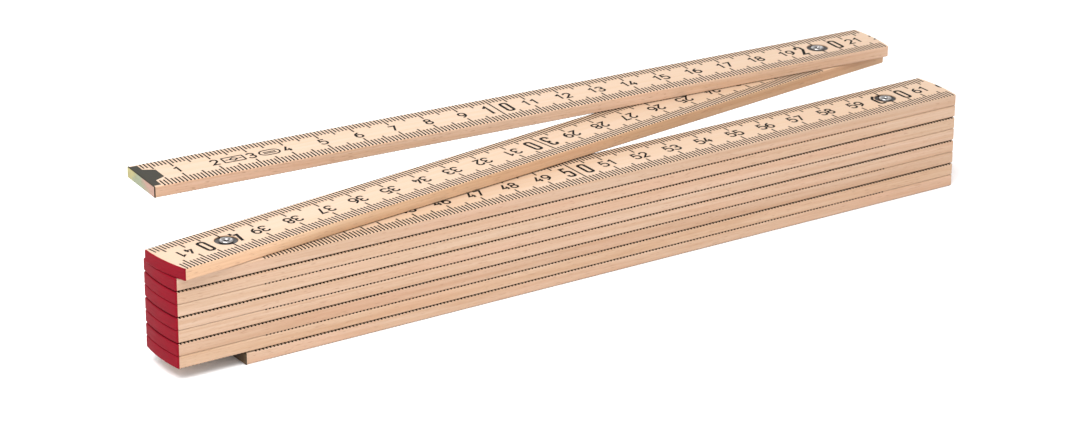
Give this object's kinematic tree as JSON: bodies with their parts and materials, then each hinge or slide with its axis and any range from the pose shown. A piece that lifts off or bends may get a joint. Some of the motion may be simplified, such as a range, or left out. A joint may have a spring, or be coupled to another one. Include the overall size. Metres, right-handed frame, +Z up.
{
  "type": "folding rule",
  "caption": "Two metre wooden folding rule: slats riveted end to end by spring joints, with a metric scale, red painted ends and steel caps, folded but for its two top limbs.",
  "frame": {"origin": "in the underside of the bottom limb, midway between its joint axis and its free end, on its centre line", "axes": "+X along the folded limbs, away from the capped ends; +Y across them, away from the reader; +Z up through the stack"},
  "size_m": [0.2376, 0.0585, 0.0329],
  "materials": {
    "limb_wood": "satin lacquer",
    "yellow_zinc_steel": "yellow passivated zinc",
    "hinge_steel": "bright",
    "dark_steel": "dark, satin",
    "rivet_steel": "bright, worn",
    "scale_print": "matt black ink",
    "red_paint": "gloss paint"
  },
  "bodies": {
    "section_01": {"limb_01": "limb_wood", "zero_end_cap": "yellow_zinc_steel", "upper_hinge_plate_020": "hinge_steel", "spring_washer_020": "dark_steel"},
    "section_02": {"limb_02": "limb_wood", "upper_hinge_plate_040": "hinge_steel", "spring_washer_040": "dark_steel", "lower_hinge_plate_020": "hinge_steel", "back_washer_020": "dark_steel", "joint_rivet_020": "rivet_steel"},
    "section_03": {"limb_03": "limb_wood", "upper_hinge_plate_060": "hinge_steel", "spring_washer_060": "dark_steel", "lower_hinge_plate_040": "hinge_steel", "back_washer_040": "dark_steel", "joint_rivet_040": "rivet_steel"},
    "section_04": {"limb_04": "limb_wood", "upper_hinge_plate_080": "hinge_steel", "spring_washer_080": "dark_steel", "lower_hinge_plate_060": "hinge_steel", "back_washer_060": "dark_steel", "joint_rivet_060": "rivet_steel"},
    "section_05": {"limb_05": "limb_wood", "upper_hinge_plate_100": "hinge_steel", "spring_washer_100": "dark_steel", "lower_hinge_plate_080": "hinge_steel", "back_washer_080": "dark_steel", "joint_rivet_080": "rivet_steel"},
    "section_06": {"limb_06": "limb_wood", "upper_hinge_plate_120": "hinge_steel", "spring_washer_120": "dark_steel", "lower_hinge_plate_100": "hinge_steel", "back_washer_100": "dark_steel", "joint_rivet_100": "rivet_steel"},
    "section_07": {"limb_07": "limb_wood", "upper_hinge_plate_140": "hinge_steel", "spring_washer_140": "dark_steel", "lower_hinge_plate_120": "hinge_steel", "back_washer_120": "dark_steel", "joint_rivet_120": "rivet_steel"},
    "section_08": {"limb_08": "limb_wood", "upper_hinge_plate_160": "hinge_steel", "spring_washer_160": "dark_steel", "lower_hinge_plate_140": "hinge_steel", "back_washer_140": "dark_steel", "joint_rivet_140": "rivet_steel"},
    "section_09": {"limb_09": "limb_wood", "upper_hinge_plate_180": "hinge_steel", "spring_washer_180": "dark_steel", "lower_hinge_plate_160": "hinge_steel", "back_washer_160": "dark_steel", "joint_rivet_160": "rivet_steel"},
    "section_10": {"limb_10": "limb_wood", "two_metre_end_cap": "yellow_zinc_steel", "lower_hinge_plate_180": "hinge_steel", "back_washer_180": "dark_steel", "joint_rivet_180": "rivet_steel"}
  },
  "joints": [
    {"name": "joint_180", "type": "hinge", "parent": "section_10", "child": "section_09", "pos_m": [0.1, 0, 0.00315], "axis": [0, 0, -1], "range_deg": [0, 180]},
    {"name": "joint_160", "type": "hinge", "parent": "section_09", "child": "section_08", "pos_m": [-0.1, 0, 0.00645], "axis": [0, 0, 1], "range_deg": [0, 180]},
    {"name": "joint_140", "type": "hinge", "parent": "section_08", "child": "section_07", "pos_m": [0.1, 0, 0.00975], "axis": [0, 0, -1], "range_deg": [0, 180]},
    {"name": "joint_120", "type": "hinge", "parent": "section_07", "child": "section_06", "pos_m": [-0.1, 0, 0.01305], "axis": [0, 0, 1], "range_deg": [0, 180]},
    {"name": "joint_100", "type": "hinge", "parent": "section_06", "child": "section_05", "pos_m": [0.1, 0, 0.01635], "axis": [0, 0, -1], "range_deg": [0, 180]},
    {"name": "joint_080", "type": "hinge", "parent": "section_05", "child": "section_04", "pos_m": [-0.1, 0, 0.01965], "axis": [0, 0, 1], "range_deg": [0, 180]},
    {"name": "joint_060", "type": "hinge", "parent": "section_04", "child": "section_03", "pos_m": [0.1, 0, 0.02295], "axis": [0, 0, -1], "range_deg": [0, 180]},
    {"name": "joint_040", "type": "hinge", "parent": "section_03", "child": "section_02", "pos_m": [-0.1, 0, 0.02625], "axis": [0, 0, 1], "range_deg": [-7.83, 172.17]},
    {"name": "joint_020", "type": "hinge", "parent": "section_02", "child": "section_01", "pos_m": [0.09814, 0.02725, 0.02955], "axis": [0, 0, -1], "range_deg": [-11.55, 168.45]}
  ]
}
